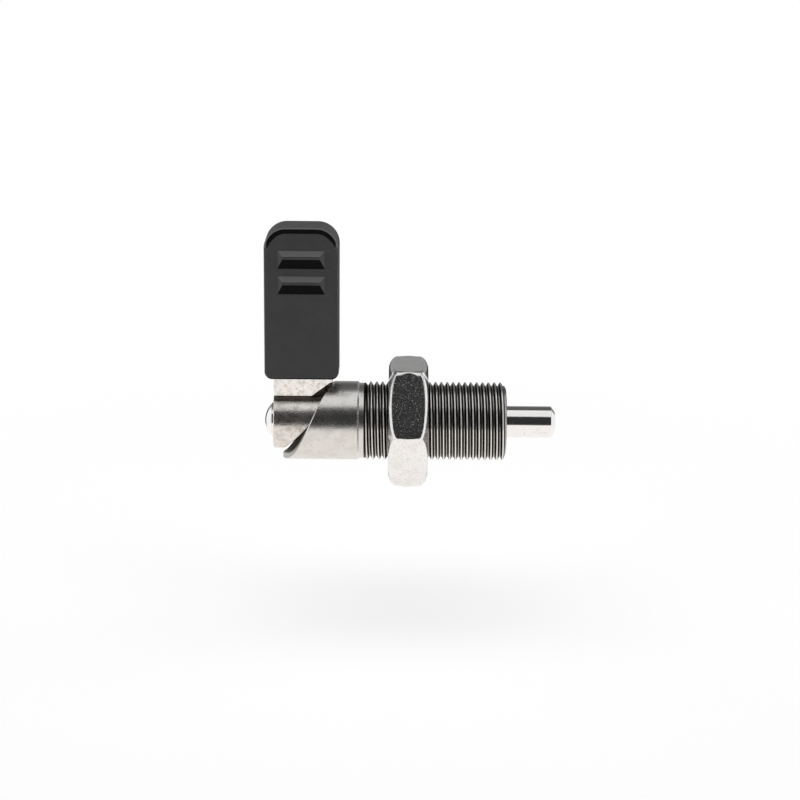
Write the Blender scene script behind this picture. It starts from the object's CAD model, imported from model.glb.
"""Looks of a cam-action indexing plunger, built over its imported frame.

Every length is in metres, worked out from sizes in millimetres. Places are in the frame's own
axes: +X runs along the plunger towards the pin's tip, and +Z along the lever at rest. Angles
about the plunger are counted from +Y towards +Z.
"""

import logging
import math
from collections.abc import Callable
from dataclasses import dataclass, field
from enum import Enum, IntEnum

import bmesh
import bpy
from mathutils import Matrix, Vector


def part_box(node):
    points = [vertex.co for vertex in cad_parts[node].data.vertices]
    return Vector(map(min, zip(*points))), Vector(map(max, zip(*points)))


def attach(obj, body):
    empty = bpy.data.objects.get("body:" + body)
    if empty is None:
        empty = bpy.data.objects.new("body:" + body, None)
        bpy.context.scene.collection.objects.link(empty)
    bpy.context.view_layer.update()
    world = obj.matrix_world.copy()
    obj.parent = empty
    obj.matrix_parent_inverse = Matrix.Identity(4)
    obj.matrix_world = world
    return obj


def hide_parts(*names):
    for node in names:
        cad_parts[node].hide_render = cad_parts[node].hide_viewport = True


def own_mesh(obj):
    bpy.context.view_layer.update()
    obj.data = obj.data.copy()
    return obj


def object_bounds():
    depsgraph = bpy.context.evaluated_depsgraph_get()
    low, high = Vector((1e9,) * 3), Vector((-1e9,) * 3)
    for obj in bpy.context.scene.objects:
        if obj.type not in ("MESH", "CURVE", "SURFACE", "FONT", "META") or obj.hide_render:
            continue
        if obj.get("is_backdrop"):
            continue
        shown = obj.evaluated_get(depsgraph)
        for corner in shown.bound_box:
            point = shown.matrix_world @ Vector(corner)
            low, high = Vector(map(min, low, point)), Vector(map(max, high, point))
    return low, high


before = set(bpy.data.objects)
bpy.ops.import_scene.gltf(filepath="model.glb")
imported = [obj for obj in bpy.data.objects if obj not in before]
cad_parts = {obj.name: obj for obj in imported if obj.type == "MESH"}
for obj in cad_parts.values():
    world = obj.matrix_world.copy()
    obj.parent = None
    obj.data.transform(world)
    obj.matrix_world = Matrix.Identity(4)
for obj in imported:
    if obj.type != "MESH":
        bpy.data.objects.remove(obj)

log = logging.getLogger("indexing_plunger")

MM = 0.001
WELD = 0.0005 * MM
QUARTER = math.pi / 2
TURN = 2 * math.pi
NORMAL_WEIGHT = 50

Point = tuple[float, float, float]
Colour = tuple[float, float, float]
Profile = list[tuple[float, float]]
Ring = list[Point]
Zones = int | list[int] | list[list[int]]
Piece = bpy.types.Object
Tree = bpy.types.NodeTree
Node = bpy.types.Node
Sockets = bpy.types.bpy_prop_collection
Socket = bpy.types.NodeSocket
Value = Socket | float | tuple[float, ...]
Inputs = dict[str | int, Value]


def held(value: float, low: float = 0.0, high: float = 1.0) -> float:
    """Holds a value between two limits."""
    return min(max(value, low), high)


def smooth_step(value: float) -> float:
    """Eases a value from 0 to 1, held at 0 below 0 and at 1 above 1."""
    t = held(value)
    return t * t * (3 - 2 * t)


# ---- meshes ----


def new_object(name: str, data: bpy.types.ID) -> Piece:
    """Makes an object and puts it in the scene.

    Args:
        name: The object's name.
        data: Its mesh, camera or lamp.

    Returns:
        The new object.
    """
    made = bpy.data.objects.new(name, data)
    bpy.context.scene.collection.objects.link(made)
    return made


class Shell:
    """A mesh in the making: its points, its faces and each face's finish zone."""

    def __init__(self) -> None:
        """Starts with nothing in it."""
        self.points: list[Point] = []
        self.faces: list[tuple[int, ...]] = []
        self.zones: list[int] = []

    def add_rows(
        self, rows: list[Ring], zones: Zones = 0, wrap: bool = True, caps: bool = False
    ) -> "Shell":
        """Joins neighbouring rows of points with four-sided faces.

        Args:
            rows: Rows of the same number of points each.
            zones: The finish zone of all faces, of each band between rows, or of each band's faces.
            wrap: Whether each row closes on itself.
            caps: Whether a flat face closes the first row and the last.

        Returns:
            The shell itself.
        """
        start = len(self.points)
        width = len(rows[0])
        for row in rows:
            self.points.extend(row)
        for band in range(len(rows) - 1):
            zone = zones if isinstance(zones, int) else zones[band]
            for i in range(width if wrap else width - 1):
                a = start + band * width + i
                b = start + band * width + (i + 1) % width
                self.faces.append((a, b, b + width, a + width))
                self.zones.append(zone if isinstance(zone, int) else zone[i])
        if caps:
            self.add_cap(rows[0])
            self.add_cap(rows[-1])
        return self

    def add_cap(self, row: Ring) -> None:
        """Closes a flat row of points with one face of the first zone.

        Args:
            row: The points round the face.
        """
        start = len(self.points)
        self.points.extend(row)
        self.faces.append(tuple(range(start, start + len(row))))
        self.zones.append(0)

    def piece(self, name: str, finishes: list["Finish"], sharp_deg: float = 38.0) -> Piece:
        """Makes the object, welded and with its normals outwards.

        Args:
            name: The object's name.
            finishes: One finish for each zone, in the zones' order.
            sharp_deg: Edges that turn by more than this stay sharp.

        Returns:
            The new object, in the scene.
        """
        mesh = bpy.data.meshes.new(name)
        mesh.from_pydata(self.points, [], self.faces)
        mesh.polygons.foreach_set("material_index", self.zones)
        work = bmesh.new()
        work.from_mesh(mesh)
        bmesh.ops.remove_doubles(work, verts=work.verts, dist=WELD)
        bmesh.ops.dissolve_degenerate(work, edges=work.edges, dist=WELD)
        bmesh.ops.recalc_face_normals(work, faces=work.faces)
        work.to_mesh(mesh)
        work.free()
        for finish in finishes:
            mesh.materials.append(finish.material())
        made = new_object(name, mesh)
        soften_shading(made, sharp_deg)
        return made


def soften_shading(piece: Piece, sharp_deg: float) -> None:
    """Shades a piece smooth, with its large faces kept flat and its hard edges sharp.

    Args:
        piece: The object to shade.
        sharp_deg: Edges that turn by more than this stay sharp.
    """
    piece.data.shade_smooth()
    piece.data.set_sharp_from_angle(angle=math.radians(sharp_deg))
    weighted = piece.modifiers.new("face weighted normals", "WEIGHTED_NORMAL")
    weighted.mode = "FACE_AREA"
    weighted.weight = NORMAL_WEIGHT
    weighted.keep_sharp = True


def settle(piece: Piece) -> None:
    """Applies every modifier of a piece to its mesh.

    Args:
        piece: The object whose modifiers are used up.
    """
    graph = bpy.context.evaluated_depsgraph_get()
    mesh = bpy.data.meshes.new_from_object(piece.evaluated_get(graph))
    old = piece.data
    piece.modifiers.clear()
    piece.data = mesh
    mesh.name = piece.name
    bpy.data.meshes.remove(old)


class Operation(Enum):
    """What a second solid does to a piece."""

    JOIN = "UNION"
    CUT = "DIFFERENCE"


def combine(piece: Piece, operation: Operation, tool: Piece, sharp_deg: float) -> None:
    """Joins another solid to a piece, or cuts it out, and removes that other solid.

    Args:
        piece: The object that stays.
        operation: Whether the solid is joined or cut out.
        tool: The solid that is used up.
        sharp_deg: Edges that turn by more than this stay sharp.
    """
    piece.modifiers.clear()
    tool.modifiers.clear()
    step = piece.modifiers.new("combine", "BOOLEAN")
    step.operation = operation.value
    step.solver = "EXACT"
    step.object = tool
    settle(piece)
    bpy.data.objects.remove(tool)
    soften_shading(piece, sharp_deg)


def polar(x: float, radius: float, angle: float) -> Point:
    """A point at a place, radius and angle about the plunger axis."""
    return (x, radius * math.cos(angle), radius * math.sin(angle))


def around(columns: int) -> list[float]:
    """Evenly spaced angles of one turn, from 0."""
    return [TURN * i / columns for i in range(columns)]


def rounded_profile(corners: list[tuple[float, float, float]], steps: int = 4) -> Profile:
    """Rounds the corners of an open profile.

    Args:
        corners: The place, radius and rounding of each corner.
        steps: How many short runs stand for each rounding.

    Returns:
        The place and radius of each point of the profile.
    """
    out: Profile = []
    for i, (x, r, rounding) in enumerate(corners):
        if rounding == 0:
            out.append((x, r))
            continue
        here = Vector((x, r))
        back = (Vector(corners[i - 1][:2]) - here).normalized()
        ahead = (Vector(corners[i + 1][:2]) - here).normalized()
        half = back.angle(ahead) / 2
        reach = rounding / math.tan(half)
        start, end = here + back * reach, here + ahead * reach
        centre = here + (back + ahead).normalized() * (rounding / math.sin(half))
        for k in range(steps + 1):
            spoke = start.lerp(end, k / steps) - centre
            at = centre + spoke.normalized() * rounding
            out.append((at.x, at.y))
    return out


def turned_rows(profile: Profile, columns: int) -> list[Ring]:
    """Rows of points of a profile turned about the plunger axis."""
    return [[polar(x, r, angle) for angle in around(columns)] for x, r in profile]


# ---- node groups ----


class Sheet:
    """A node tree with short calls for adding and joining nodes."""

    def __init__(self, tree: Tree) -> None:
        """Keeps the tree to work on."""
        self.tree = tree

    def add(self, kind: str, inputs: Inputs | None = None, **settings: str | bool | Tree) -> Node:
        """Adds a node.

        Args:
            kind: The node's type name.
            inputs: What feeds its inputs, by their names or numbers.
            **settings: Properties to set on it.

        Returns:
            The new node.
        """
        node = self.tree.nodes.new(kind)
        for key, value in settings.items():
            setattr(node, key, value)
        for key, source in (inputs or {}).items():
            self.feed(node.inputs[key], source)
        return node

    def feed(self, target: Socket, source: Value) -> None:
        """Links a socket to another socket, or sets its value.

        Args:
            target: The input socket.
            source: An output socket, a number, a vector, or a colour without its alpha.
        """
        if isinstance(source, Socket):
            self.tree.links.new(source, target)
        else:
            target.default_value = (*source, 1.0) if target.type == "RGBA" else source

    def maths(self, operation: str, a: Value, b: Value = 0.0, clamp: bool = False) -> Socket:
        """One step of arithmetic on two values, held between 0 and 1 where clamp says so."""
        node = self.add("ShaderNodeMath", {0: a, 1: b}, operation=operation, use_clamp=clamp)
        return node.outputs[0]

    def plus(self, a: Value, b: Value) -> Socket:
        """Adds two values."""
        return self.maths("ADD", a, b)

    def times(self, a: Value, b: Value) -> Socket:
        """Multiplies two values."""
        return self.maths("MULTIPLY", a, b)

    def ramp(
        self, value: Value, low: float, high: float, to_low: float = 0.0, to_high: float = 1.0
    ) -> Socket:
        """Maps a value smoothly from low and high to to_low and to_high, held at both ends."""
        inputs = {"Value": value, "From Min": low, "From Max": high, "To Min": to_low, "To Max": to_high}
        return self.add("ShaderNodeMapRange", inputs, interpolation_type="SMOOTHSTEP").outputs["Result"]

    def blend(self, share: Value, a: Value, b: Value) -> Socket:
        """Mixes two colours, by the second one's share."""
        inputs = {"Factor": share, 6: a, 7: b}
        return self.add("ShaderNodeMix", inputs, data_type="RGBA").outputs[2]

    def place(self) -> Socket:
        """The shaded point's place in the piece."""
        return self.add("ShaderNodeTexCoord").outputs["Object"]

    def length(self, vector: Socket) -> Socket:
        """A vector's length."""
        return self.add("ShaderNodeVectorMath", {0: vector}, operation="LENGTH").outputs["Value"]

    def axis_distance(self) -> Socket:
        """The shaded point's distance from the plunger axis."""
        across = {0: self.place(), 1: (0.0, 1.0, 1.0)}
        return self.length(self.add("ShaderNodeVectorMath", across, operation="MULTIPLY").outputs[0])

    def noise(self, scale: Value, detail: float, roughness: float = 0.5) -> Socket:
        """Soft noise, by its blotches a metre, its finer layers and how strong those are."""
        look = {"Vector": self.place(), "Scale": scale, "Detail": detail, "Roughness": roughness}
        return self.add("ShaderNodeTexNoise", look).outputs["Fac"]

    def bump(self, height: Value) -> Socket:
        """The normal of a surface with a relief given in millimetres."""
        relief = {"Height": height, "Distance": MM}
        return self.add("ShaderNodeBump", relief).outputs["Normal"]

    def mix_shaders(self, share: Value, a: Node, b: Node) -> Node:
        """Mixes two shaders, by the second one's share."""
        return self.add("ShaderNodeMixShader", {0: share, 1: a.outputs[0], 2: b.outputs[0]})


class Group(Enum):
    """The shader effects that the finishes are made with."""

    GRAIN = "blasted grain"
    RINGS = "turning rings"
    STAIN = "handling stain"
    SCRATCHES = "fine scratches"
    GROOVES = "oiled grooves"
    SPECKS = "separate specks"


class Effect(Sheet):
    """A shader effect in the making: a node group with number sockets."""

    def __init__(self, kind: Group, **defaults: float) -> None:
        """Starts the group.

        Args:
            kind: Which effect it is.
            **defaults: The name and default of each input.
        """
        super().__init__(bpy.data.node_groups.new(kind.value, "ShaderNodeTree"))
        face = self.tree.interface
        for name, default in defaults.items():
            socket = face.new_socket(name, in_out="INPUT", socket_type="NodeSocketFloat")
            socket.default_value = default
        self.into = self.add("NodeGroupInput").outputs

    def per(self, name: str) -> Socket:
        """How many of an input's lengths fit in a metre."""
        return self.maths("DIVIDE", 1.0, self.into[name])

    def give(self, **outputs: Socket) -> Tree:
        """Ends the group.

        Args:
            **outputs: The name and source of each output.

        Returns:
            The finished group.
        """
        for name in outputs:
            self.tree.interface.new_socket(name, in_out="OUTPUT", socket_type="NodeSocketFloat")
        self.add("NodeGroupOutput", outputs)
        return self.tree


def grain_group() -> Tree:
    """Builds the fine pitted grain of a blasted, cast or moulded surface.

    Returns:
        The group: Size in metres in, and Height and Mask out.
    """
    coarse_scale, coarse_height = 0.28, 0.6
    group = Effect(Group.GRAIN, Size=0.3 * MM)
    scale = group.per("Size")
    fine = group.noise(scale, detail=3.0, roughness=0.6)
    coarse = group.noise(group.times(scale, coarse_scale), detail=2.0)
    height = group.plus(fine, group.times(coarse, coarse_height))
    return group.give(Height=height, Mask=group.ramp(fine, low=0.52, high=0.72))


def rings_group() -> Tree:
    """Builds the fine rings that a turning tool leaves round the plunger axis.

    Returns:
        The group: Pitch in metres in, and Height out.
    """
    group = Effect(Group.RINGS, Pitch=0.12 * MM)
    along = group.add("ShaderNodeSeparateXYZ", {0: group.place()}).outputs["X"]
    rings = group.maths("DIVIDE", group.plus(along, group.axis_distance()), group.into["Pitch"])
    look = {"W": rings, "Scale": 1.0, "Detail": 2.0}
    return group.give(Height=group.add("ShaderNodeTexNoise", look, noise_dimensions="1D").outputs["Fac"])


def stain_group() -> Tree:
    """Builds the soft brownish blotches of handled bare steel.

    Returns:
        The group: Size in metres and Spread in, and Mask out.
    """
    spread_share, threshold = 0.3, 0.62
    group = Effect(Group.STAIN, Size=3 * MM, Spread=0.5)
    noise = group.noise(group.per("Size"), detail=6.0, roughness=0.68)
    shift = group.maths("SUBTRACT", group.times(group.into["Spread"], spread_share), threshold)
    return group.give(Mask=group.ramp(group.plus(noise, shift), low=-0.06, high=0.2))


def scratches_group() -> Tree:
    """Builds a few short thin scratches that run in all directions.

    Returns:
        The group: Size in metres in, and Mask out.
    """
    bend_scale, gate_scale, half_width = 0.7, 1.7, 0.006
    group = Effect(Group.SCRATCHES, Size=2 * MM)
    scale = group.per("Size")
    bend = group.noise(group.times(scale, bend_scale), detail=1.0)
    from_line = group.maths("ABSOLUTE", group.maths("SUBTRACT", bend, 0.5))
    line = group.maths("SUBTRACT", 1.0, group.ramp(from_line, 0.0, half_width))
    gate = group.noise(group.times(scale, gate_scale), detail=1.0)
    return group.give(Mask=group.times(line, group.ramp(gate, low=0.6, high=0.68)))


def grooves_group() -> Tree:
    """Builds the dark film of oil that stays between the crests and roots of a thread.

    Returns:
        The group: Crest and Root radius in metres in, and Mask out.
    """
    group = Effect(Group.GROOVES, Crest=10 * MM, Root=9 * MM)
    crest, root = group.into["Crest"], group.into["Root"]
    depth = group.maths("SUBTRACT", crest, group.axis_distance())
    share = group.maths("DIVIDE", depth, group.maths("SUBTRACT", crest, root))
    below_crest = group.ramp(share, low=0.07, high=0.22)
    above_root = group.ramp(share, low=0.84, high=0.97, to_low=1.0, to_high=0.45)
    return group.give(Mask=group.times(below_crest, above_root))


def specks_group() -> Tree:
    """Builds small specks that stand apart, such as grains of dust or pits.

    Returns:
        The group: Size in metres and Share in, and Mask out.
    """
    group = Effect(Group.SPECKS, Size=1 * MM, Share=0.3)
    where = {"Vector": group.place(), "Scale": group.per("Size")}
    cells = group.add("ShaderNodeTexVoronoi", where).outputs
    pick = group.add("ShaderNodeSeparateColor", {0: cells["Color"]}).outputs[0]
    chosen = group.maths("LESS_THAN", pick, group.into["Share"])
    dot = group.ramp(cells["Distance"], low=0.08, high=0.2, to_low=1.0, to_high=0.0)
    return group.give(Mask=group.times(chosen, dot))


BUILDERS: dict[Group, Callable[[], Tree]] = {
    Group.GRAIN: grain_group,
    Group.RINGS: rings_group,
    Group.STAIN: stain_group,
    Group.SCRATCHES: scratches_group,
    Group.GROOVES: grooves_group,
    Group.SPECKS: specks_group,
}


def place_group(sheet: Sheet, kind: Group, **values: float) -> Sockets:
    """Puts an effect into a material with its own inputs, and builds it the first time."""
    tree = bpy.data.node_groups.get(kind.value) or BUILDERS[kind]()
    return sheet.add("ShaderNodeGroup", values, node_tree=tree).outputs


# ---- finishes ----


@dataclass(frozen=True)
class Finish:
    """What every finish has: a name, and one material made from it."""

    name: str

    def material(self) -> bpy.types.Material:
        """Gives the finish's material, and makes it the first time.

        Returns:
            The material.
        """
        found = bpy.data.materials.get(self.name)
        if found:
            return found
        made = bpy.data.materials.new(self.name)
        made.use_nodes = True
        sheet = Sheet(made.node_tree)
        shader = made.node_tree.nodes["Principled BSDF"]
        for key, source in self.layers(sheet).items():
            sheet.feed(shader.inputs[key], source)
        return made

    def layers(self, sheet: Sheet) -> dict[str, Value]:
        """Gives what feeds the shader; each kind of finish has its own way."""
        raise NotImplementedError


@dataclass(frozen=True)
class Steel(Finish):
    """Bare steel, from ground to rough cast."""

    tint: Colour = (0.84, 0.825, 0.8)
    roughness: float = 0.25
    stain: Colour = (0.36, 0.29, 0.23)
    stain_share: float = 0.25
    stain_size: float = 3 * MM
    stain_spread: float = 0.5
    stain_dullness: float = 0.3
    grain_size: float = 0.3 * MM
    grain_depth: float = 0.004 * MM
    ring_pitch: float = 0.12 * MM
    ring_depth: float = 0.0
    scratch: Colour = (0.1, 0.08, 0.07)
    scratch_share: float = 0.0
    scratch_size: float = 4 * MM
    speckle: Colour = (0.1, 0.1, 0.1)
    speckle_share: float = 0.0
    pit: Colour = (0.2, 0.13, 0.09)
    pit_share: float = 0.1
    pit_size: float = 0.9 * MM
    pit_strength: float = 0.7
    frost_share: float = 0.0

    def layers(self, sheet: Sheet) -> dict[str, Value]:
        """Lays stain, specks, pits and scratches over steel with grain and rings.

        Args:
            sheet: The material's sheet.

        Returns:
            What feeds each of the shader's inputs.
        """
        grain = place_group(sheet, Group.GRAIN, Size=self.grain_size)
        rings = place_group(sheet, Group.RINGS, Pitch=self.ring_pitch)
        stain = place_group(sheet, Group.STAIN, Size=self.stain_size, Spread=self.stain_spread)
        pits = place_group(sheet, Group.SPECKS, Size=self.pit_size, Share=self.pit_share)
        scratches = place_group(sheet, Group.SCRATCHES, Size=self.scratch_size)
        stained = sheet.times(stain["Mask"], self.stain_share)
        colour = sheet.blend(stained, self.tint, self.stain)
        for mask, strength, mark in (
            (grain, self.speckle_share, self.speckle),
            (pits, self.pit_strength, self.pit),
            (scratches, self.scratch_share, self.scratch),
        ):
            colour = sheet.blend(sheet.times(mask["Mask"], strength), colour, mark)
        frosted = sheet.times(grain["Mask"], self.frost_share)
        dull = sheet.plus(sheet.times(stained, self.stain_dullness), frosted)
        relief = sheet.plus(
            sheet.times(grain["Height"], self.grain_depth / MM),
            sheet.times(rings["Height"], self.ring_depth / MM),
        )
        return {
            "Base Color": colour,
            "Metallic": 1.0,
            "Roughness": sheet.maths("ADD", self.roughness, dull, clamp=True),
            "Normal": sheet.bump(relief),
        }


@dataclass(frozen=True)
class ThreadSteel(Steel):
    """Steel of a rolled thread, bright on its crests and dark with oil on its flanks."""

    crest_radius: float = 10.0 * MM
    root_radius: float = 9.08 * MM
    oil: Colour = (0.016, 0.013, 0.011)
    oil_dullness: float = 0.3

    def layers(self, sheet: Sheet) -> dict[str, Value]:
        """Lays oil over the grooves of the steel.

        Args:
            sheet: The material's sheet.

        Returns:
            What feeds each of the shader's inputs.
        """
        layers = super().layers(sheet)
        radii = {"Crest": self.crest_radius, "Root": self.root_radius}
        oiled = place_group(sheet, Group.GROOVES, **radii)["Mask"]
        dull = sheet.times(oiled, self.oil_dullness)
        layers["Base Color"] = sheet.blend(oiled, layers["Base Color"], self.oil)
        layers["Roughness"] = sheet.maths("ADD", layers["Roughness"], dull, clamp=True)
        return layers


@dataclass(frozen=True)
class Plastic(Finish):
    """Matt moulded plastic with a fine spark-eroded texture."""

    tint: Colour = (0.05, 0.05, 0.051)
    roughness: float = 0.5
    gloss: float = 0.5
    grain_size: float = 0.25 * MM
    grain_depth: float = 0.01 * MM
    dust: Colour = (0.16, 0.155, 0.15)
    dust_share: float = 0.1
    dust_size: float = 5 * MM
    dust_spread: float = 0.6
    dust_dullness: float = 0.12
    speck_size: float = 1.3 * MM
    speck_count: float = 0.35
    speck_strength: float = 3.0

    def layers(self, sheet: Sheet) -> dict[str, Value]:
        """Lays a little dust over plastic with texture.

        Args:
            sheet: The material's sheet.

        Returns:
            What feeds each of the shader's inputs.
        """
        grain = place_group(sheet, Group.GRAIN, Size=self.grain_size)["Height"]
        stain = place_group(sheet, Group.STAIN, Size=self.dust_size, Spread=self.dust_spread)
        specks = place_group(sheet, Group.SPECKS, Size=self.speck_size, Share=self.speck_count)
        colour = sheet.blend(sheet.times(stain["Mask"], self.dust_share), self.tint, self.dust)
        strength = self.speck_strength * self.dust_share
        speck = sheet.maths("MULTIPLY", specks["Mask"], strength, clamp=True)
        dull = sheet.times(stain["Mask"], self.dust_dullness)
        return {
            "Base Color": sheet.blend(speck, colour, self.dust),
            "Roughness": sheet.maths("ADD", self.roughness, dull, clamp=True),
            "Normal": sheet.bump(sheet.times(grain, self.grain_depth / MM)),
            "Specular IOR Level": self.gloss,
        }


SATIN_COLLAR = Steel(
    "satin collar steel", tint=(0.76, 0.745, 0.725), grain_size=0.35 * MM, grain_depth=0.02 * MM,
    stain_share=0.15, ring_depth=0.002 * MM,
)
ROLLED_THREAD = ThreadSteel(
    "rolled thread steel", roughness=0.14, grain_size=0.4 * MM, grain_depth=0.002 * MM, stain_share=0.12,
)
BORED_STEEL = Steel(
    "bored steel", tint=(0.5, 0.48, 0.45), roughness=0.4, grain_depth=0.01 * MM, ring_depth=0.006 * MM,
)
CAM_STEEL = Steel(
    "cam face steel", tint=(0.6, 0.58, 0.55), roughness=0.42, grain_size=0.4 * MM, grain_depth=0.03 * MM,
)
GROUND_STEEL = Steel(
    "ground pin steel", tint=(0.92, 0.91, 0.9), roughness=0.12, stain_share=0.05, grain_depth=0.001 * MM,
    scratch_share=0.8, pit_share=0.0,
)
POLISHED_STEEL = Steel(
    "polished rivet steel", tint=(0.94, 0.94, 0.94), roughness=0.06, stain_share=0.0,
    grain_depth=0.001 * MM, pit_share=0.0,
)
HUB_STEEL = Steel(
    "cast hub steel", tint=(0.8, 0.775, 0.74), grain_size=0.6 * MM, grain_depth=0.04 * MM,
    stain_share=0.42, stain_size=2.0 * MM, pit_share=0.25,
)
ROOT_STEEL = Steel(
    "scaled lever root steel", tint=(0.15, 0.13, 0.11), roughness=0.4, grain_size=0.45 * MM,
    grain_depth=0.05 * MM,
)
ARM_STEEL = Steel(
    "cast arm steel", tint=(0.93, 0.91, 0.885), roughness=0.14, grain_size=0.5 * MM,
    grain_depth=0.02 * MM, stain_share=0.3, stain_size=1.2 * MM, pit_share=0.2,
)
NUT_STEEL = Steel(
    "tumbled nut steel", tint=(0.9, 0.895, 0.885), roughness=0.1, grain_size=0.34 * MM,
    grain_depth=0.018 * MM, frost_share=0.32, stain_share=0.1, speckle_share=0.35, pit_share=0.06,
)
SPRING_STEEL = Steel("drawn spring wire", tint=(0.6, 0.59, 0.57), grain_depth=0.003 * MM)
SLEEVE_PLASTIC = Plastic("matt grip plastic", tint=(0.036, 0.036, 0.037), roughness=0.42, gloss=0.6)
STEP_PLASTIC = Plastic(
    "shaded grip steps", tint=(0.006, 0.006, 0.006), roughness=0.8, gloss=0.1, dust_share=0.02,
)
LEDGE_PLASTIC = Plastic("dusty grip ledges", tint=(0.17, 0.17, 0.17))
RUBBED_PLASTIC = Plastic("rubbed grip edges", tint=(0.18, 0.18, 0.184), roughness=0.38, gloss=0.6)
LEVER_FINISHES: list[Finish] = [HUB_STEEL, ROOT_STEEL, ARM_STEEL]
SLEEVE_FINISHES: list[Finish] = [SLEEVE_PLASTIC, STEP_PLASTIC, LEDGE_PLASTIC, RUBBED_PLASTIC]


# ---- pieces ----


@dataclass
class SubAssembly:
    """A part of the plunger that is built, put on its body and shown in place of its node."""

    node: str
    body: str
    slot: str
    low: Vector = field(init=False)
    high: Vector = field(init=False)

    def __post_init__(self) -> None:
        """Takes the overall sizes from the frame."""
        self.low, self.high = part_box(self.node)

    def build(self) -> Piece:
        """Builds the piece; each kind has its own way."""
        raise NotImplementedError

    def place(self) -> Piece:
        """Builds the piece and hands it to the frame.

        Returns:
            The placed piece.
        """
        piece = self.build()
        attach(piece, self.body)
        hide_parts(self.node)
        return piece


class GuideZone(IntEnum):
    """The finish zones of the guide body."""

    COLLAR = 0
    THREAD = 1
    BORE = 2
    CAM = 3


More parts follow.
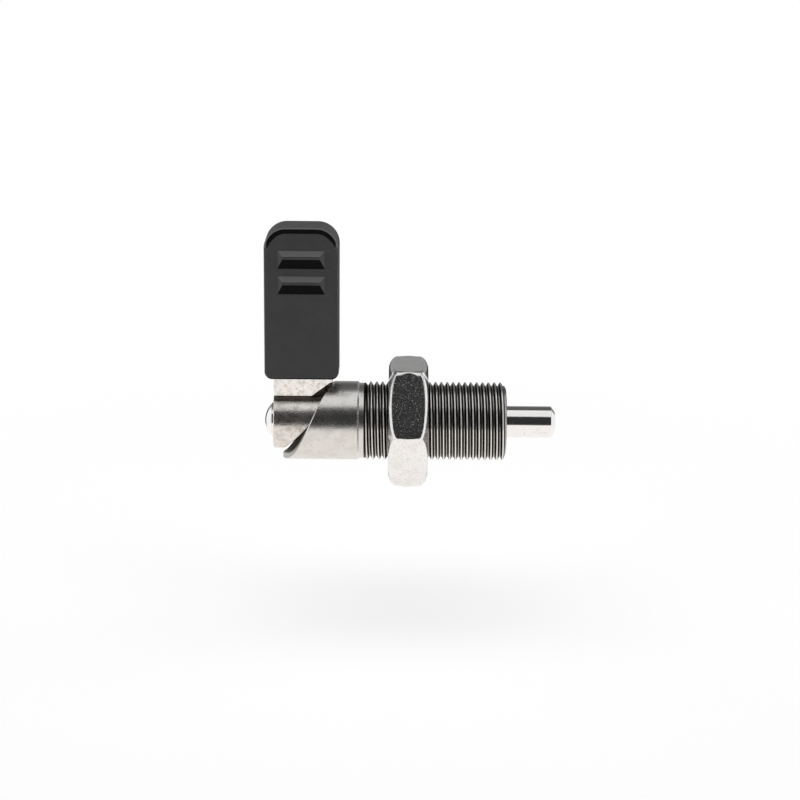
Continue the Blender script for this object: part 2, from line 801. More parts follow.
@dataclass
class GuideBody(SubAssembly):
    """The threaded guide: collar with its helical cam, right-hand thread and bores."""

    wall: float = 1.6 * MM
    seat_x: float = -6.3 * MM
    ridge_half_deg: float = 3.0
    seat_floor_half: float = 4.1 * MM
    seat_mouth_half: float = 5.0 * MM
    seat_side_rise: float = 2.1 * MM
    relief_radius: float = 9.6 * MM
    relief_length: float = 1.4 * MM
    well_floor_x: float = -3.3 * MM
    chamber_radius: float = 6.0 * MM
    guide_bore_length: float = 10.4 * MM
    bore_radius: float = 4.03 * MM
    pitch: float = 1.5 * MM
    flank_deg: float = 30.0
    half_crest: float = 1 / 16
    root_depth: float = 0.92 * MM
    crest_round: float = 0.07 * MM
    run_out: float = 0.9 * MM
    end_chamfer_length: float = 0.7 * MM
    end_chamfer_depth: float = 1.6 * MM
    edge: float = 0.2 * MM
    thread_lead: float = -0.12 * MM
    columns: int = 192

    @property
    def radius(self) -> float:
        """The radius of the collar and of the thread's crests."""
        return self.high.z

    def angles(self) -> list[float]:
        """Angles of the columns, with extra ones at the seat's corners.

        Returns:
            The angles in order, over one turn from 0.
        """
        extra = []
        for half in (self.seat_floor_half, self.seat_mouth_half):
            for radius in (self.radius, self.radius - self.wall):
                lean = math.asin(half / radius)
                extra += [QUARTER - lean, QUARTER + lean]
        return sorted(set(around(self.columns) + extra))

    def rim_x(self, radius: float, angle: float) -> float:
        """Where the collar's rim stands: on the seat at the top, then down the helical cam.

        Args:
            radius: The radius on the rim.
            angle: The angle about the axis.

        Returns:
            The rim's place along the axis.
        """
        from_top = abs((math.degrees(angle) - 90 + 180) % 360 - 180)
        climb = held((from_top - self.ridge_half_deg) / (180 - 2 * self.ridge_half_deg))
        ramp = self.seat_x + (self.low.x - self.seat_x) * climb
        aside = abs(radius * math.cos(angle))
        if from_top > 90 or aside > self.seat_mouth_half + WELD:
            return ramp
        mouth_flare = self.seat_mouth_half - self.seat_floor_half
        lean = max(aside - self.seat_floor_half, 0) / mouth_flare
        return max(ramp, self.seat_x - self.seat_side_rise * lean)

    def thread_radius(self, x: float, radius: float) -> float:
        """Fits the thread's own radius to its run-out and to the chamfer at its end.

        Args:
            x: The place along the axis.
            radius: The full thread's radius there.

        Returns:
            The radius of the finished surface.
        """
        share = smooth_step((x - self.relief_length) / self.run_out)
        ran_out = self.relief_radius + (radius - self.relief_radius) * share
        from_end = (self.high.x - x) / self.end_chamfer_length
        return min(ran_out, self.radius - self.end_chamfer_depth * (1 - from_end))

    def thread_rows(self) -> list[Ring]:
        """Rows that follow the helix, held inside the threaded length at both ends.

        Returns:
            The rows, whose columns end one turn on, a pitch further along.
        """
        crest, root, bend = self.radius, self.radius - self.root_depth, self.crest_round
        slope = math.tan(math.radians(self.flank_deg)) / self.pitch
        flank_end = self.half_crest + (self.root_depth - bend) * slope
        # Half a rib from the middle of its crest, with its two bends softened: each point's share
        # of the pitch, and radius.
        half_rib = [
            (0.0, crest),
            (self.half_crest * 0.7, crest - bend * 0.12),
            (self.half_crest + bend * slope * 1.4, crest - bend * 1.2),
            (flank_end - bend * slope, root + bend * 1.6),
            (flank_end + 0.03, root + bend * 0.5),
        ]
        rib = half_rib + [(0.5, root)] + [(1 - share, r) for share, r in reversed(half_rib[1:])]
        start = self.relief_length
        turns = math.ceil((self.high.x - start) / self.pitch) + 1
        rows = []
        for turn in range(-1, turns):
            for share, radius in rib:
                row = []
                for angle in self.angles() + [TURN]:
                    x = start + self.thread_lead + self.pitch * (turn + share + angle / TURN)
                    x = held(x, start, self.high.x)
                    row.append(polar(x, self.thread_radius(x, radius), angle))
                rows.append(row)
        return rows

    def build(self) -> Piece:
        """Builds the guide from its plain turned faces, its cam rim and its thread.

        Returns:
            The piece.
        """
        outer, inner, bore = self.radius, self.radius - self.wall, self.bore_radius
        edge, front, relief = self.edge, self.high.x, self.relief_radius
        chamber_end = front - self.guide_bore_length
        inside = [(front, outer - self.end_chamfer_depth), (front, bore + 2 * edge)]
        inside += [(front - 2 * edge, bore), (chamber_end, bore), (chamber_end, self.chamber_radius)]
        inside += [(self.well_floor_x, self.chamber_radius), (self.well_floor_x, inner)]
        # Each point's set-back from the rim, and radius.
        rim = [(edge, inner), (0.0, inner + edge), (0.0, outer - self.wall / 2)]
        rim += [(0.0, outer - edge), (edge, outer)]
        outside = [(-edge, outer), (0.0, outer - edge), (0.0, relief + edge), (edge, relief)]
        outside += [(self.relief_length, relief)]
        angles = self.angles()
        rows = [[polar(x, r, a) for a in angles] for x, r in inside]
        rows += [[polar(self.rim_x(r, a) + back, r, a) for a in angles] for back, r in rim]
        rows += [[polar(x, r, a) for a in angles] for x, r in outside]
        zones = [GuideZone.COLLAR] + [GuideZone.BORE] * (len(inside) - 1)
        zones += [GuideZone.CAM] * (len(rim) - 2) + [GuideZone.COLLAR] * (len(outside) + 1)
        shell = Shell().add_rows(rows, zones)
        shell.add_rows(self.thread_rows(), GuideZone.THREAD, wrap=False)
        finishes = [SATIN_COLLAR, ROLLED_THREAD, BORED_STEEL, CAM_STEEL]
        return shell.piece("threaded_guide", finishes)


class PinZone(IntEnum):
    """The finish zones of the locking pin."""

    GROUND = 0
    DOME = 1


@dataclass
class PlungerPin(SubAssembly):
    """The locking pin: chamfered tip, spring flange, stem and riveted dome."""

    radius: float = 4.0 * MM
    tip_chamfer_length: float = 1.0 * MM
    tip_chamfer_depth: float = 1.45 * MM
    tip_rounding: float = 0.3 * MM
    chamfer_rounding: float = 0.35 * MM
    flange_x: float = 24.5 * MM
    flange_length: float = 2.3 * MM
    stem_radius: float = 3.0 * MM
    head_radius: float = 4.25 * MM
    head_height: float = 1.85 * MM
    dome_share: float = 0.985
    edge: float = 0.12 * MM
    columns: int = 160
    dome_rows: int = 22

    def build(self) -> Piece:
        """Turns the pin's profile, from the dome's top to the tip.

        Returns:
            The piece.
        """
        head_x = self.low.x + self.head_height
        dome_radius = (self.head_height**2 + self.head_radius**2) / (2 * self.head_height)
        lean = math.asin(self.head_radius / dome_radius) * self.dome_share
        leans = [lean * i / self.dome_rows for i in range(self.dome_rows + 1)]
        dome = [(self.low.x + dome_radius * (1 - math.cos(t)), dome_radius * math.sin(t)) for t in leans]
        flange_end = self.flange_x + self.flange_length
        chamfer_x, tip_x = self.high.x - self.tip_chamfer_length, self.high.x
        corners = [
            (head_x - self.edge, self.head_radius, 0),
            (head_x, self.head_radius, self.edge * 0.6),
            (head_x, self.stem_radius, 0),
            (self.flange_x, self.stem_radius, 0),
            (self.flange_x, self.high.z, 2 * self.edge),
            (flange_end, self.high.z, 2 * self.edge),
            (flange_end, self.radius, 0),
            (chamfer_x, self.radius, self.chamfer_rounding),
            (tip_x, self.radius - self.tip_chamfer_depth, self.tip_rounding),
            (tip_x, 0.0, 0),
        ]
        rows = turned_rows(dome + rounded_profile(corners), self.columns)
        zones = [PinZone.DOME] * len(dome) + [PinZone.GROUND] * (len(rows) - len(dome) - 1)
        return Shell().add_rows(rows, zones).piece("locking_pin", [GROUND_STEEL, POLISHED_STEEL])


@dataclass
class TurnedRing(SubAssembly):
    """A plain turned ring with broken edges, such as a washer or a spring seat."""

    piece_name: str
    finish: Finish
    inner_radius: float = 3.05 * MM
    edge: float = 0.1 * MM
    columns: int = 128

    def build(self) -> Piece:
        """Turns the ring's section.

        Returns:
            The piece.
        """
        corners = [
            (self.high.x, self.inner_radius, 0),
            (self.low.x, self.inner_radius, self.edge),
            (self.low.x, self.high.z, self.edge),
            (self.high.x, self.high.z, self.edge),
            (self.high.x, self.inner_radius, 0),
        ]
        rows = turned_rows(rounded_profile(corners), self.columns)
        return Shell().add_rows(rows).piece(self.piece_name, [self.finish])


@dataclass
class ReturnSpring(SubAssembly):
    """The compression spring, with closed end coils ground flat."""

    wire_radius: float = 0.45 * MM
    mean_radius: float = 4.8 * MM
    turns: float = 6.5
    closed_turns: float = 1.0
    ground_share: float = 0.6
    steps_a_turn: int = 64
    sides: int = 16
    pressed_share: float = 0.515

    def coil_x(self, turn: float) -> float:
        """The height of the wire's middle above the seat.

        Args:
            turn: How many turns have passed.

        Returns:
            The height.
        """
        wire, length = self.wire_radius, self.high.x - self.low.x
        closed_rise = 2 * wire
        open_rise = length - 2 * wire - 2 * closed_rise + 2 * (1 - self.ground_share) * wire
        active = self.turns - 2 * self.closed_turns
        past_end = turn - self.closed_turns
        ends = min(turn, self.closed_turns) + max(past_end - active, 0)
        opened = held(past_end, 0, active) / active
        return wire * self.ground_share + closed_rise * ends + open_rise * opened

    def build(self) -> Piece:
        """Sweeps the wire round its coil and grinds both ends.

        Returns:
            The piece.
        """
        rows = []
        for i in range(round(self.turns * self.steps_a_turn) + 1):
            turn = i / self.steps_a_turn
            middle = self.low.x + self.coil_x(turn)
            row = []
            for side in around(self.sides):
                x = held(middle + self.wire_radius * math.sin(side), self.low.x, self.high.x)
                r = self.mean_radius + self.wire_radius * math.cos(side)
                row.append(polar(x, r, TURN * turn))
            rows.append(row)
        return Shell().add_rows(rows, caps=True).piece("return_spring", [SPRING_STEEL])

    def place(self) -> Piece:
        """Places the spring and lets it shorten as the pin is drawn back.

        Returns:
            The placed piece.
        """
        piece = super().place()
        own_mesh(piece)
        return piece


class LeverZone(IntEnum):
    """The finish zones of the cast lever."""

    HUB = 0
    ROOT = 1
    ARM = 2


@dataclass
class CamLever(SubAssembly):
    """The cast lever: a hub cut off at a slant, and a flat arm with a contact ridge."""

    hub_radius: float = 7.15 * MM
    hub_rim_length: float = 1.0 * MM
    nose_edge: float = 0.15 * MM
    nose_edge_middle: float = 0.04 * MM
    bore_radius: float = 3.05 * MM
    cut_deg: float = 43.0
    arm_width: float = 14.9 * MM
    arm_half: float = 2.625 * MM
    arm_top_chamfer: float = 3.0 * MM
    arm_plain_z: float = 14.6 * MM
    arm_set_in: float = 0.4 * MM
    arm_front_edge: tuple[float, float] = (0.12 * MM, 0.04 * MM)
    arm_foot_share: float = 0.6
    arm_edge_steps: int = 4
    root_radius: float = 0.6 * MM
    root_overlap: float = 0.97
    ridge_half: float = 0.523 * MM
    flank_root_z: float = 6.55 * MM
    flank_top_z: float = 10.6 * MM
    flank_top_edge: float = 0.02 * MM
    flank_steps: int = 8
    flank_top_recess: float = 0.45 * MM
    flank_root_recess: float = 5.9 * MM
    root_shade: float = 3.9 * MM
    edge: float = 0.35 * MM
    sharp_deg: float = 30.0
    columns: int = 160
    bore_columns: int = 96

    @property
    def root_z(self) -> float:
        """The height where the arm's root starts to flare into the hub."""
        fillet_y = self.arm_half + self.root_radius
        return math.sqrt((self.hub_radius + self.root_radius) ** 2 - fillet_y**2)

    def hub(self) -> Piece:
        """Builds the hub with a rounded rear rim and its slanted front.

        Returns:
            The hub by itself.
        """
        rear, radius = self.low.x, self.hub_radius
        wide, soft = self.nose_edge, self.nose_edge_middle
        rim = [(rear, 0.0, 0), (rear, radius, self.edge), (rear + self.hub_rim_length, radius, 0)]
        rows = turned_rows(rounded_profile(rim), self.columns)
        slope = math.tan(math.radians(self.cut_deg))
        for back, inset in ((wide, 0.0), (soft, soft), (0.0, wide)):
            ring = [polar(0, radius - inset, angle) for angle in around(self.columns)]
            rows.append([(self.high.x - back - (radius - z) * slope, y, z) for _, y, z in ring])
        reach = self.root_shade / radius
        zones = [
            LeverZone.ROOT if math.sin(angle) > 0 and abs(math.cos(angle)) < reach else LeverZone.HUB
            for angle in around(self.columns)
        ]
        shell = Shell().add_rows(rows, [zones] * (len(rows) - 1))
        shell.add_cap(rows[-1])
        return shell.piece("lever_hub", LEVER_FINISHES)

    def half_width(self, z: float) -> float:
        """Half the arm's thickness at a height, with the root's flare into the hub."""
        drop = held(self.root_z - z, 0, self.root_radius * self.root_overlap)
        return self.arm_half + self.root_radius - math.sqrt(self.root_radius**2 - drop**2)

    def front_x(self, y: float, z: float) -> float:
        """Where the arm's front stands: on the contact ridge, and behind it on its flanks.

        Args:
            y: The place across the arm.
            z: The height.

        Returns:
            The front's place along the axis.
        """
        front = self.low.x + self.arm_width
        if z > self.flank_top_z:
            return front
        rise = held((z - self.flank_root_z) / (self.flank_top_z - self.flank_root_z))
        recess = self.flank_root_recess + (self.flank_top_recess - self.flank_root_recess) * rise
        aside = max(min(y, self.arm_half) - self.ridge_half, 0) / (self.arm_half - self.ridge_half)
        return front - recess * aside

    def arm_ring(self, z: float) -> Ring:
        """One level section of the arm.

        Args:
            z: The section's height.

        Returns:
            The points round the section.
        """
        half, edge, ridge = self.half_width(z), self.edge, self.ridge_half
        front_cut, front_edge = self.arm_front_edge
        top_cut = max(z - (self.high.z - self.arm_top_chamfer), 0)
        set_in = self.arm_set_in if z < self.hub_radius * self.root_overlap else 0.0
        rear = self.low.x + top_cut + set_in
        right: Ring = []
        for step in range(self.arm_edge_steps, -1, -1):
            turn = QUARTER * step / self.arm_edge_steps
            right.append((rear + edge * (1 - math.sin(turn)), half - edge * (1 - math.cos(turn)), z))
        spans = (half, half - front_edge, half - edge * 0.5, (half + ridge) / 2)
        for y in (*spans, ridge + edge * 0.4, ridge - edge * 0.4):
            back = top_cut + (front_cut if y == half else 0.0)
            right.append((self.front_x(y, z) - back, y, z))
        return right + [(x, -y, z) for x, y, z in reversed(right)]

    def arm(self) -> Piece:
        """Builds the arm from level sections, from inside the hub to its top.

        Returns:
            The arm by itself.
        """
        root, flank_top = self.root_z, self.flank_top_z
        flare = (self.root_overlap, 0.9, 0.78, 0.6, 0.4, 0.2, 0.0)
        levels = [self.hub_radius * self.arm_foot_share]
        levels += [root - self.root_radius * share for share in flare]
        steps = range(1, self.flank_steps + 1)
        levels += [root + (flank_top - root) * k / self.flank_steps for k in steps]
        levels += [flank_top + self.flank_top_edge, self.arm_plain_z]
        levels += [self.high.z - self.arm_top_chamfer, self.high.z]
        zones = [LeverZone.ROOT if z < root else LeverZone.ARM for z in levels[:-1]]
        rows = [self.arm_ring(z) for z in levels]
        return Shell().add_rows(rows, zones, caps=True).piece("lever_arm", LEVER_FINISHES)

    def build(self) -> Piece:
        """Joins hub and arm, and bores the hub.

        Returns:
            The piece.
        """
        lever = self.hub()
        combine(lever, Operation.JOIN, self.arm(), self.sharp_deg)
        ends = [(self.low.x - MM, self.bore_radius), (self.high.x + MM, self.bore_radius)]
        drill = Shell().add_rows(turned_rows(ends, self.bore_columns), caps=True)
        combine(lever, Operation.CUT, drill.piece("hub_drill", [HUB_STEEL]), self.sharp_deg)
        lever.name = "cam_lever"
        return lever


class SleeveZone(IntEnum):
    """The finish zones of the grip sleeve."""

    FACE = 0
    STEP = 1
    LEDGE = 2
    RUBBED = 3


@dataclass
class GripSleeve(SubAssembly):
    """The moulded grip: a sleeve with a rim round its top and two bars on each side."""

    corner_radius: float = 5.5 * MM
    bottom_chamfer: float = 1.6 * MM
    bottom_fullness: float = 0.6
    bottom_drop: float = 0.22 * MM
    half: float = 4.5 * MM
    edge: float = 0.55 * MM
    edge_bands: int = 6
    rim_stand_out: float = 0.6 * MM
    rim_edge: float = 0.35 * MM
    rim_slope_width: float = 0.85 * MM
    rim_drop: float = 6.4 * MM
    rim_fade_share: float = 0.55
    shaded_bands: tuple[float, float] = (6.0, 14.5)
    last_shaded_bands: tuple[float, float] = (9.0, 7.9)
    shade_drop_share: float = 1.05
    shade_fade_share: float = 0.6
    rubbed_bands: tuple[int, int] = (2, 5)
    rubbed_from_share: float = 0.3
    bar_length: float = 12.0 * MM
    bar_height: float = 4.75 * MM
    bar_stand_out: float = 1.0 * MM
    bar_sink: float = 0.5 * MM
    bar_upper_slope: float = 1.4 * MM
    bar_land: float = 0.7 * MM
    ridge_length: float = 9.4 * MM
    bar_heights: tuple[float, float] = (35.95 * MM, 42.4 * MM)
    bar_edge: float = 0.42 * MM
    bar_edge_segments: int = 4
    bar_edge_deg: float = 20.0
    pocket_gap: float = 0.12 * MM
    arm_middle_x: float = -14.05 * MM
    arm_width: float = CamLever.arm_width
    arm_half: float = CamLever.arm_half
    arm_top_z: float = 45.8 * MM
    sharp_deg: float = 50.0

    @property
    def middle(self) -> float:
        """The place of the sleeve's middle along the axis."""
        return (self.low.x + self.high.x) / 2

    def outline(self, inset: float) -> Profile:
        """The sleeve's side outline, drawn in by some distance.

        Args:
            inset: How far it is drawn in.

        Returns:
            The place along the axis and the height of each point.
        """
        cut_steps, side_steps, corner_steps, top_steps = 8, 32, 24, 6
        wide = (self.high.x - self.low.x) / 2 - inset
        bottom, top = self.low.z - self.bottom_drop + inset, self.high.z - inset
        corner = self.corner_radius - inset
        cut = self.bottom_chamfer - inset * (2 - math.sqrt(2))
        side_top, side_bottom = top - corner, bottom + cut
        side = side_top - side_bottom
        start, end = Vector((wide - cut, bottom)), Vector((wide, side_bottom))
        pull = start.lerp(end, 0.5).lerp(Vector((wide, bottom)), self.bottom_fullness)
        right = [(0.0, bottom)]
        for share in (k / cut_steps for k in range(cut_steps + 1)):
            bend = start.lerp(pull, share).lerp(pull.lerp(end, share), share)
            right.append((bend.x, bend.y))
        right += [(wide, side_bottom + side * k / side_steps) for k in range(1, side_steps)]
        for turn in (QUARTER * k / corner_steps for k in range(corner_steps + 1)):
            right.append((wide - corner * (1 - math.cos(turn)), side_top + corner * math.sin(turn)))
        right += [((wide - corner) * (1 - k / top_steps), top) for k in range(1, top_steps + 1)]
        left = [(-x, z) for x, z in reversed(right[1:-1])]
        return [(self.middle + x, z) for x, z in right + left]

    def rim_share(self, z: float) -> float:
        """How much of the rim stands at a height, from none at the sides to all at the top."""
        rise = z - (self.high.z - self.rim_drop)
        return smooth_step(rise / (self.rim_drop * self.rim_fade_share))

    def face_rows(self, side: int) -> list[Ring]:
        """Rows from a side's outer edge, over the rim and down to its flat face.

        Args:
            side: -1 for the viewer's side and 1 for the other.

        Returns:
            The rows, from the outer edge inwards.
        """
        turns = [QUARTER * k / self.edge_bands for k in range(self.edge_bands + 1)]
        # How far the rim's inner slope has come across, and how much of its height is left.
        falls = [(0.04, 1.0), (0.14, 0.93), (0.3, 0.72), (0.7, 0.22), (0.88, 0.05), (1.0, 0.0)]
        falls += [(share, 0.0) for share in (1.15, 1.3, 1.45, 1.6)]
        sections = []
        for edge, stand_out in ((self.edge, 0.0), (self.rim_edge, self.rim_stand_out)):
            section = [(edge * (1 - math.cos(t)), stand_out + edge * (math.sin(t) - 1)) for t in turns]
            section += [(edge + s * self.rim_slope_width, stand_out * rise) for s, rise in falls]
            sections.append(section)
        rows = []
        for (plain_inset, plain_rise), (rim_inset, rim_rise) in zip(*sections):
            row = []
            for plain, rim in zip(self.outline(plain_inset), self.outline(rim_inset)):
                share = self.rim_share(plain[1])
                depth = self.half + plain_rise + (rim_rise - plain_rise) * share
                x, z = (a + (b - a) * share for a, b in zip(plain, rim))
                row.append((x, side * depth, z))
            rows.append(row)
        return rows

    def face_zone(self, band: int, z: float) -> SleeveZone:
        """Finds a face's zone, by the shade under the rim, the lower edge and the rubbed crest.

        Args:
            band: The number of the face's band, from the outer edge inwards.
            z: The face's height.

        Returns:
            The face's finish zone.
        """
        arc_rise = z - (self.high.z - self.shade_drop_share * self.corner_radius)
        taper = 1 - smooth_step(arc_rise / (self.shade_fade_share * self.corner_radius))
        ends = zip(self.shaded_bands, self.last_shaded_bands)
        first, last = (full + (spent - full) * taper for full, spent in ends)
        lower_edge = z < self.low.z - self.bottom_drop + self.edge
        if first <= band <= last or (band < self.edge_bands - 1 and lower_edge):
            return SleeveZone.STEP
        rub_first, rub_last = self.rubbed_bands
        if rub_first <= band <= rub_last and self.rim_share(z) > self.rubbed_from_share:
            return SleeveZone.RUBBED
        return SleeveZone.FACE

    def bar(self, side: int, height: float) -> Piece:
        """One grip bar: a hipped roof with a narrow land along its ridge.

        Args:
            side: -1 for the viewer's side and 1 for the other.
            height: The height of the bar's middle.

        Returns:
            The bar by itself.
        """
        long, tall, ridge = self.bar_length / 2, self.bar_height / 2, self.ridge_length / 2
        base = side * self.half
        land_top = height + tall - self.bar_upper_slope
        foot = (long, height - tall, height + tall)
        levels = [
            (base - side * self.bar_sink, *foot),
            (base, *foot),
            (base + side * self.bar_stand_out, ridge, land_top - self.bar_land, land_top),
        ]
        rows = []
        for y, half, bottom, top in levels:
            corners = ((-half, bottom), (half, bottom), (half, top), (-half, top))
            rows.append([(self.middle + x, y, z) for x, z in corners])
        face = SleeveZone.FACE
        zones = [[face] * 4, [SleeveZone.STEP, face, SleeveZone.LEDGE, face]]
        bar = Shell().add_rows(rows, zones, caps=True).piece("bar", SLEEVE_FINISHES)
        bar.modifiers.clear()
        soften = bar.modifiers.new("soft edges", "BEVEL")
        soften.width = self.bar_edge
        soften.segments = self.bar_edge_segments
        soften.limit_method = "ANGLE"
        soften.angle_limit = math.radians(self.bar_edge_deg)
        settle(bar)
        return bar

    def pocket(self) -> Piece:
        """The room that the arm takes up inside the sleeve.

        Returns:
            A block as big as that room.
        """
        wide, deep = self.arm_width / 2 + self.pocket_gap, self.arm_half + self.pocket_gap
        corners = [(-wide, -deep), (wide, -deep), (wide, deep), (-wide, deep)]
        levels = (self.low.z - MM, self.arm_top_z + self.pocket_gap)
        rows = [[(self.arm_middle_x + x, y, z) for x, y in corners] for z in levels]
        return Shell().add_rows(rows, caps=True).piece("arm_pocket", SLEEVE_FINISHES)

    def build(self) -> Piece:
        """Builds the sleeve, adds its bars and cuts the arm's pocket.

        Returns:
            The piece.
        """
        far_rows = self.face_rows(1)
        far_zones = [
            [self.face_zone(band, z) for _, _, z in row] for band, row in enumerate(far_rows[:-1])
        ]
        rows = self.face_rows(-1)[::-1] + far_rows
        zones = far_zones[::-1] + [[SleeveZone.FACE] * len(rows[0])] + far_zones
        shell = Shell().add_rows(rows, zones, caps=True)
        sleeve = shell.piece("grip_cover", SLEEVE_FINISHES, self.sharp_deg)
        for side in (-1, 1):
            for height in self.bar_heights:
                combine(sleeve, Operation.JOIN, self.bar(side, height), self.sharp_deg)
        combine(sleeve, Operation.CUT, self.pocket(), self.sharp_deg)
        return sleeve


@dataclass
class LockNut(SubAssembly):
    """The thin hexagonal lock nut, chamfered at both faces, with tumbled edges."""

    face_radius: float = 13.9 * MM
    chamfer_deg: float = 19.0
    bore_radius: float = 10.05 * MM
    mouth: float = 0.8 * MM
    ridge_rounding: float = 0.35 * MM
    ridge_end_rounding: float = 1.6 * MM
    crease_rounding: float = 1.2 * MM
    corner_wear: float = 0.6 * MM
    corner_wear_power: int = 8
    face_rounding: float = 0.2 * MM
    rounding_steps: int = 8
    wear_shares: tuple[float, float] = (0.5, 0.95)
    columns_a_side: int = 48
    crowding: float = 1.6

    def angles(self) -> list[float]:
        """Angles of the columns, closer together at the hexagon's corners.

        Returns:
            The angles in order, over one turn.
        """
        out = []
        for side in range(6):
            centre = math.radians(30 + 60 * side)
            for i in range(self.columns_a_side):
                share = -1 + 2 * i / self.columns_a_side
                eased = math.copysign(1 - (1 - abs(share)) ** self.crowding, share)
                out.append(centre + math.radians(30) * eased)
        return out

    def hexagon_radius(self, angle: float, rounding: float) -> float:
        """The hexagon's radius at an angle.

        Args:
            angle: The angle about the axis.
            rounding: The rounding of the ridges between its flats.

        Returns:
            The radius.
        """
        half_side, flat = math.radians(30), self.high.z
        from_middle = abs(angle % (2 * half_side) - half_side)
        tangent = math.atan((flat - rounding) * math.tan(half_side) / flat)
        if from_middle <= tangent:
            return flat / math.cos(from_middle)
        centre = (flat - rounding) / math.cos(half_side)
        lean = half_side - from_middle
        return centre * math.cos(lean) + math.sqrt(rounding**2 - (centre * math.sin(lean)) ** 2)

    def half_rows(self, face_x: float, inward: int) -> list[Ring]:
        """Rows from the bore, over one face and its chamfer, to the middle of the flats.

        Args:
            face_x: The face's place along the axis.
            inward: 1 where the nut lies towards +X of the face, and -1 for the other face.

        Returns:
            The rows, from the bore outwards.
        """
        slope = math.tan(math.radians(self.chamfer_deg))
        half = (self.high.x - self.low.x) / 2
        extra = self.ridge_end_rounding - self.ridge_rounding
        worn_to, sound_from = self.wear_shares
        columns = []
        for angle in self.angles():
            end_radius = self.hexagon_radius(angle, self.ridge_end_rounding)
            toward_ridge = abs((angle % math.radians(60)) / math.radians(30) - 1)
            worn = self.corner_wear * toward_ridge**self.corner_wear_power
            corners = [
                (self.mouth, self.bore_radius, 0),
                (0.0, self.bore_radius + self.mouth, 0),
                (0.0, self.face_radius, self.face_rounding),
                ((end_radius - self.face_radius) * slope + worn, end_radius, self.crease_rounding),
                (half * worn_to, end_radius, 0),
            ]
            column = rounded_profile(corners, self.rounding_steps)
            for share in (0.54, 0.58, 0.62, 0.66, 0.7, 0.75, 0.8, 0.85, 0.9, 1.0):
                wear = 1 - smooth_step((share - worn_to) / (sound_from - worn_to))
                rounding = self.ridge_rounding + extra * wear
                column.append((half * share, self.hexagon_radius(angle, rounding)))
            columns.append([polar(face_x + inward * x, r, angle) for x, r in column])
        return [list(row) for row in zip(*columns)]

    def build(self) -> Piece:
        """Builds the nut from its two halves and closes it through the bore."""
        rows = self.half_rows(self.low.x, 1) + self.half_rows(self.high.x, -1)[-2::-1]
        return Shell().add_rows(rows + [rows[0]]).piece("hexagon_lock_nut", [NUT_STEEL])


# ---- studio ----


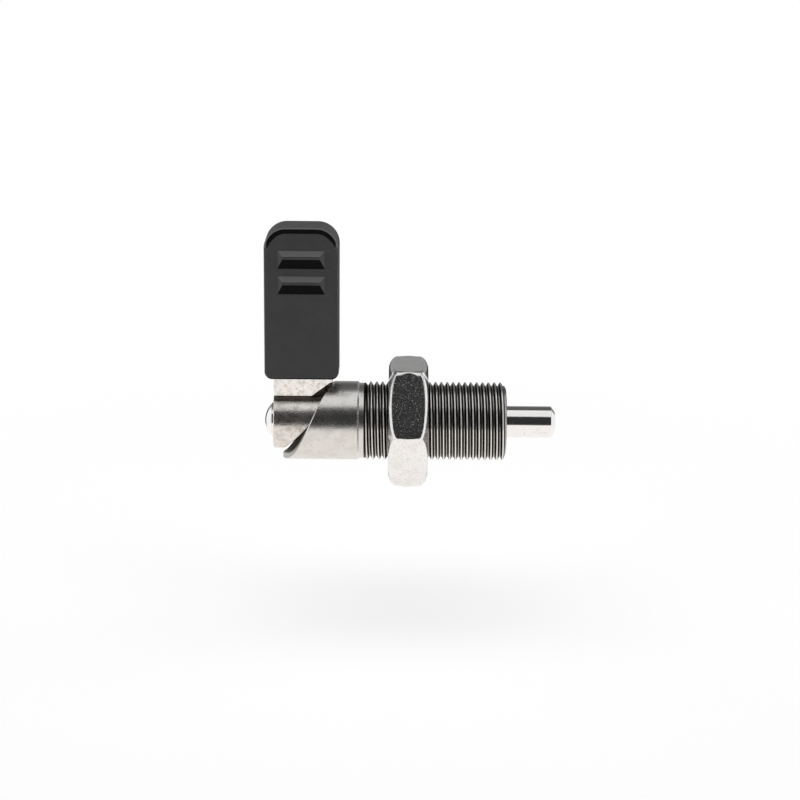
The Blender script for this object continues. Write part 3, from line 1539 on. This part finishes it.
@dataclass
class Studio:
    """The camera, the pale floor and the soft light."""

    target: Point = (10.54 * MM, 0.0, 5.46 * MM)
    distance: float = 540 * MM
    elevation_deg: float = 15.0
    roll_deg: float = 0.54
    focal_mm: float = 95.3
    clip: tuple[float, float] = (0.01, 100)
    softbox_height: float = 0.8
    softbox_angles: tuple[float, float] = (54.0, 108.0)
    softbox_radiance: float = 0.84
    fill_angles: tuple[float, float] = (60.0, 120.0)
    fill_radiance: float = 1.1
    floor_half: float = 6.0
    floor_gap: float = 0.5 * MM
    paper_tone: Colour = (0.7, 0.7, 0.7)
    paper_glow: float = 0.45
    shadow_reach: tuple[float, float] = (0.1, 0.3)
    paper_tint: Colour = (1.0, 0.965, 0.935)
    ground_edge: float = -0.16
    ground_softness: float = 0.06
    ground_rise: float = 0.17
    back_tone: float = 0.34
    dark_tone: Colour = (0.03, 0.03, 0.031)
    wall_tone: Colour = (0.95, 0.95, 0.95)
    white: Colour = (1.0, 1.0, 1.0)

    def camera(self) -> None:
        """Places the camera and makes it the scene's own."""
        data = bpy.data.cameras.new("camera")
        data.lens = self.focal_mm
        data.clip_start, data.clip_end = self.clip
        camera = new_object("camera", data)
        lean = math.radians(self.elevation_deg)
        back = Vector((0, -math.cos(lean), math.sin(lean)))
        camera.location = Vector(self.target) + back * self.distance
        facing = (-back).to_track_quat("-Z", "Y").to_matrix()
        roll = Matrix.Rotation(math.radians(self.roll_deg), 3, "Z")
        camera.rotation_euler = (facing @ roll).to_euler()
        bpy.context.scene.camera = camera

    def floor(self) -> None:
        """Lays the pale floor just below the lever's lowest reach, where it hangs straight down."""
        low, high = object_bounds()
        half, z = self.floor_half, min(low.z, -high.z) - self.floor_gap
        corners = [(-half, -half, z), (half, -half, z), (half, half, z), (-half, half, z)]
        mesh = bpy.data.meshes.new("floor")
        mesh.from_pydata(corners, [], [(0, 1, 2, 3)])
        mesh.materials.append(self.floor_paper())
        new_object("floor", mesh)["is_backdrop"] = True

    def floor_paper(self) -> bpy.types.Material:
        """White paper that keeps the shadow, and lets reflections see the room past it.

        Returns:
            The floor's material.
        """
        made = bpy.data.materials.new("white paper")
        made.use_nodes = True
        made.node_tree.nodes.clear()
        sheet = Sheet(made.node_tree)
        ray = sheet.add("ShaderNodeLightPath").outputs
        paper = sheet.add("ShaderNodeBsdfDiffuse", {"Color": self.paper_tone})
        glow = sheet.add("ShaderNodeEmission", {"Strength": self.paper_glow})
        lit = sheet.add("ShaderNodeAddShader", {0: glow.outputs[0], 1: paper.outputs[0]})
        far = sheet.ramp(sheet.length(sheet.place()), *self.shadow_reach)
        seen = sheet.mix_shaders(far, lit, sheet.add("ShaderNodeEmission"))
        bright = sheet.mix_shaders(ray["Is Camera Ray"], paper, seen)
        passed = sheet.maths("MAXIMUM", ray["Is Glossy Ray"], ray["Is Transmission Ray"])
        whole = sheet.mix_shaders(passed, bright, sheet.add("ShaderNodeBsdfTransparent"))
        sheet.add("ShaderNodeOutputMaterial", {0: whole.outputs[0]})
        return made

    def softbox(self, name: str, angles: tuple[float, float], radiance: float) -> Piece:
        """Hangs a wide softbox over the object.

        Args:
            name: The lamp's name.
            angles: The elevations of its near and far edge, counted from the front horizon.
            radiance: How bright its face is, where 1 is white.

        Returns:
            The lamp.
        """
        near, far = (-self.softbox_height / math.tan(math.radians(angle)) for angle in angles)
        data = bpy.data.lights.new(name, "AREA")
        data.shape = "RECTANGLE"
        data.size = 2 * self.softbox_height
        data.size_y = far - near
        data.energy = radiance * math.pi * data.size * data.size_y
        lamp = new_object(name, data)
        lamp.location = (0, (near + far) / 2, self.softbox_height)
        return lamp

    def surroundings(self) -> None:
        """Colours the world: white for the camera, and a dark room with pale walls and ground."""
        world = bpy.data.worlds.new("studio")
        bpy.context.scene.world = world
        world.use_nodes = True
        world.node_tree.nodes.clear()
        sheet = Sheet(world.node_tree)
        around_us = sheet.add("ShaderNodeTexCoord").outputs["Generated"]
        way = sheet.add("ShaderNodeSeparateXYZ", {0: around_us}).outputs
        behind = sheet.ramp(way["Y"], low=-0.05, high=0.25)
        rise = sheet.ramp(way["Z"], low=-0.06, high=0.04, to_low=0.06)
        fall = sheet.ramp(way["Z"], low=0.2, high=0.5, to_low=1.0, to_high=0.25)
        back = sheet.times(behind, sheet.times(sheet.times(rise, fall), self.back_tone))
        high_wall = sheet.ramp(way["Z"], low=0.5, high=0.7, to_low=1.0, to_high=0.0)
        side_wall = sheet.ramp(sheet.maths("ABSOLUTE", way["X"]), low=0.53, high=0.7)
        walls = sheet.maths("MAXIMUM", back, sheet.times(high_wall, side_wall))
        lowered = sheet.plus(way["Z"], sheet.times(behind, self.ground_rise))
        edge, soft = self.ground_edge, self.ground_softness
        ground = sheet.ramp(lowered, edge - soft, edge + soft, to_low=1.0, to_high=0.0)
        tone = sheet.blend(walls, self.dark_tone, self.wall_tone)
        tone = sheet.blend(ground, tone, self.paper_tint)
        camera_ray = sheet.add("ShaderNodeLightPath").outputs["Is Camera Ray"]
        seen = sheet.blend(camera_ray, tone, self.white)
        glow = sheet.add("ShaderNodeBackground", {"Color": seen})
        sheet.add("ShaderNodeOutputWorld", {0: glow.outputs[0]})

    def build(self) -> None:
        """Sets up the camera, the floor, the lamps and the world."""
        self.camera()
        self.floor()
        self.softbox("softbox", self.softbox_angles, self.softbox_radiance)
        self.softbox("fill", self.fill_angles, self.fill_radiance).visible_glossy = False
        self.surroundings()
        bpy.context.scene.view_settings.view_transform = "Standard"


def main() -> None:
    """Builds every piece, then the studio."""
    logging.basicConfig(level=logging.INFO, format="%(message)s")
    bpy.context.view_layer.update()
    pieces: list[SubAssembly] = [
        GuideBody("guide_body", "guide", "turned_steel"),
        PlungerPin("plunger_pin", "plunger", "ground_steel"),
        TurnedRing("head_washer", "plunger", "ground_steel", "rivet_washer", POLISHED_STEEL),
        TurnedRing("spring_seat", "guide", "turned_steel", "seat_ring", BORED_STEEL, 3.2 * MM),
        ReturnSpring("compression_spring", "guide", "spring_wire"),
        CamLever("lever", "lever", "cast_steel"),
        GripSleeve("grip_sleeve", "lever", "black_plastic"),
        LockNut("lock_nut", "nut", "nut_steel"),
    ]
    for piece in pieces:
        made = piece.place()
        log.info("%s: %d faces", made.name, len(made.data.polygons))
    Studio().build()


if __name__ == "__main__":
    main()
